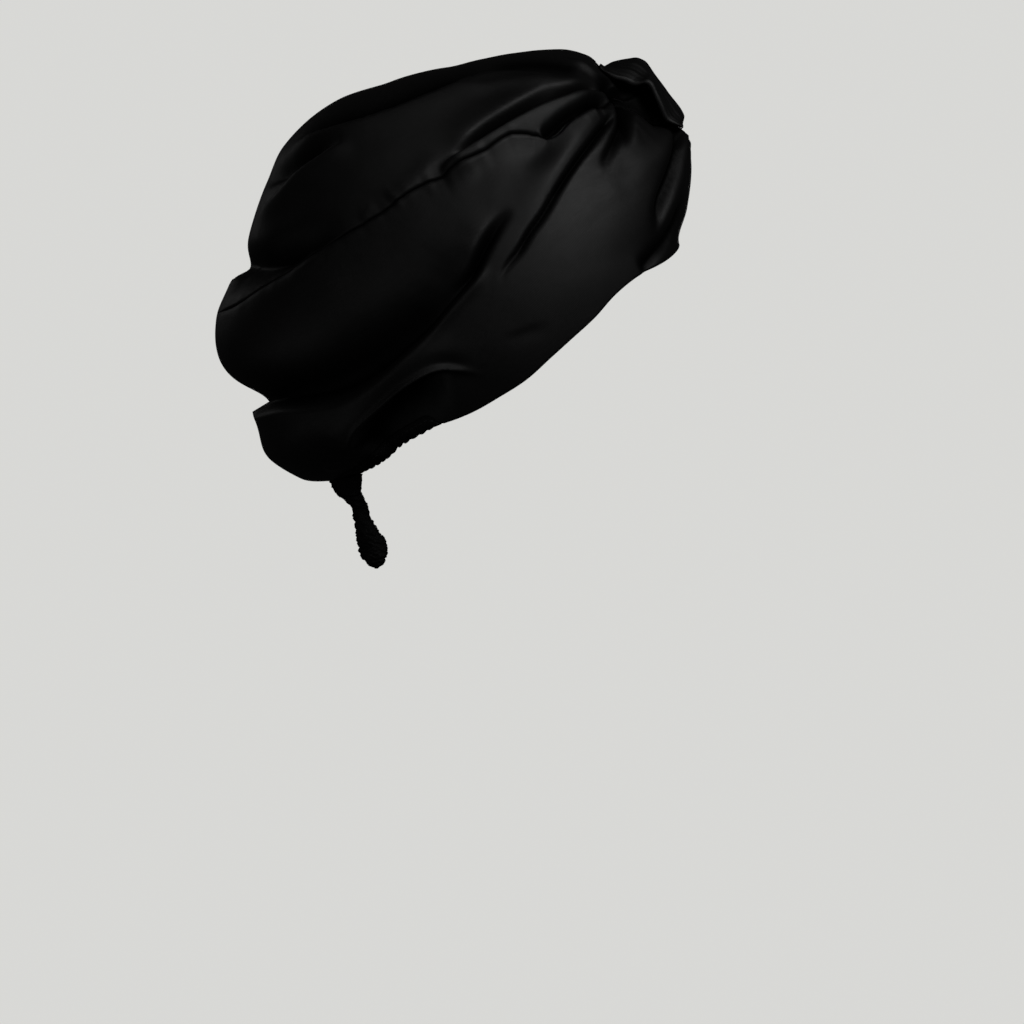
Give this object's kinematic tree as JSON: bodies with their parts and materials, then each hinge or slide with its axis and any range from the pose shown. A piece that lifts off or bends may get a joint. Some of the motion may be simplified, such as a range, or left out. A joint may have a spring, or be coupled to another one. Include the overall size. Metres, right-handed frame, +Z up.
{
  "type": "silk bonnet",
  "caption": "Full, gathered silk bonnet, shown as worn, with a knotted band over the forehead, side seams, an overhanging bag at the back, and a shirred nape hem with a small tie.",
  "frame": {"origin": "middle of the head hollow, where the wearer's head sits, in the middle plane", "axes": "+X towards the wearer's face, +Y to the wearer's left, +Z up"},
  "size_m": [0.2371, 0.1686, 0.259],
  "materials": {
    "black_silk": "black satin-weave silk with a soft sheen",
    "shirred_silk": "the same silk, gathered tightly over elastic"
  },
  "bodies": {
    "root": {"crown_panel": "black_silk", "side_panel": "black_silk", "front_knot": "black_silk", "nape_casing": "shirred_silk", "tie_tab": "shirred_silk", "tie_loop": "shirred_silk"}
  },
  "joints": []
}
